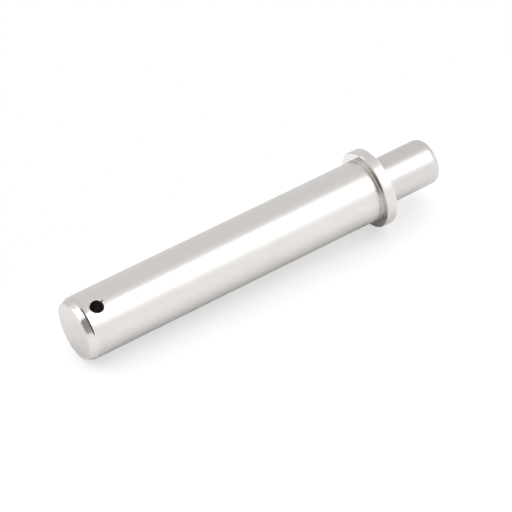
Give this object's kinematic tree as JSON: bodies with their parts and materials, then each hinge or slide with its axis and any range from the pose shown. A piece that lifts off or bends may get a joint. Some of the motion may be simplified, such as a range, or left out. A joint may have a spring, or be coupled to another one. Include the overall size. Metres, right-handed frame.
{
  "type": "retaining pin",
  "caption": "Turned steel pin: plain shank with lead chamfer and cross hole at one end, locating collar and smaller round-ended spigot at the other.",
  "frame": {"origin": "centre of the flat, chamfered end of the shank, on which the pin stands", "axes": "+Z along the pin's axis, from the chamfered end to the spigot; the cross hole runs along Y"},
  "size_m": [0.0126, 0.0126, 0.0645],
  "materials": {
    "turned_stainless": "fine turned, satin"
  },
  "bodies": {
    "root": {"pin": "turned_stainless"}
  },
  "joints": []
}
